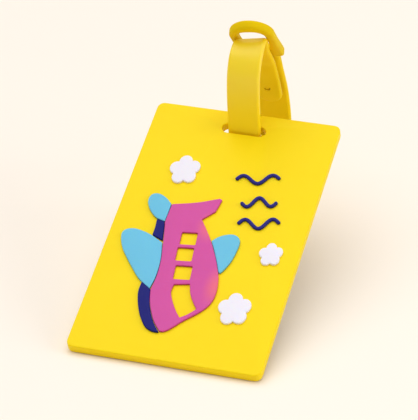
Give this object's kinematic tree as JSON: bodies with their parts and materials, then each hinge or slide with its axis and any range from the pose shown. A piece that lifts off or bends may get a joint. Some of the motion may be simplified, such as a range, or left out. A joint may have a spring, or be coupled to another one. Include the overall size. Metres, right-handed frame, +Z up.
{
  "type": "luggage tag",
  "caption": "Soft PVC luggage tag with raised aeroplane artwork, a card pocket at the back and a ring strap that props it up.",
  "frame": {"origin": "middle of the footprint, on the table that the tag stands on", "axes": "+Z up, +X along the plate's width to the right of someone facing the artwork, +Y from the plate's foot towards the strap's ring"},
  "size_m": [0.068, 0.141, 0.0835],
  "materials": {
    "soft_yellow": "satin soft PVC",
    "soft_pink": "satin soft PVC",
    "soft_light_blue": "satin soft PVC",
    "soft_navy": "satin soft PVC",
    "soft_white": "satin soft PVC",
    "clear_sheet": "clear flexible sheet",
    "card": "uncoated card"
  },
  "bodies": {
    "tag": {"tag_body": "soft_yellow", "plane_fuselage": "soft_pink", "plane_near_wing": "soft_light_blue", "plane_far_wing": "soft_light_blue", "plane_tailplane": "soft_light_blue", "plane_belly_front": "soft_navy", "plane_belly_rear": "soft_navy", "rosette_1": "soft_white", "rosette_2": "soft_white", "rosette_3": "soft_white", "breeze_stroke_1": "soft_navy", "breeze_stroke_2": "soft_navy", "breeze_stroke_3": "soft_navy", "clear_window": "clear_sheet"},
    "card": {"address_card": "card"},
    "strap": {"strap_band": "soft_yellow", "strap_keeper": "soft_yellow", "strap_button": "soft_yellow"},
    "tail": {"strap_tail": "soft_yellow"}
  },
  "joints": [
    {"name": "strap_swing", "type": "hinge", "parent": "tag", "child": "strap", "pos_m": [0, 0.02671, 0.04079], "axis": [1, 0, 0], "range_deg": [0, 30]},
    {"name": "tail_lift", "type": "hinge", "parent": "strap", "child": "tail", "pos_m": [0, 0.04905, 0.05525], "axis": [-1, 0, 0], "range_deg": [0, 40], "stiffness_Nm_per_rad": 0.005},
    {"name": "card_slide", "type": "slide", "parent": "tag", "child": "card", "axis": [-1, 0, 0], "range_m": [0, 0.06]}
  ]
}
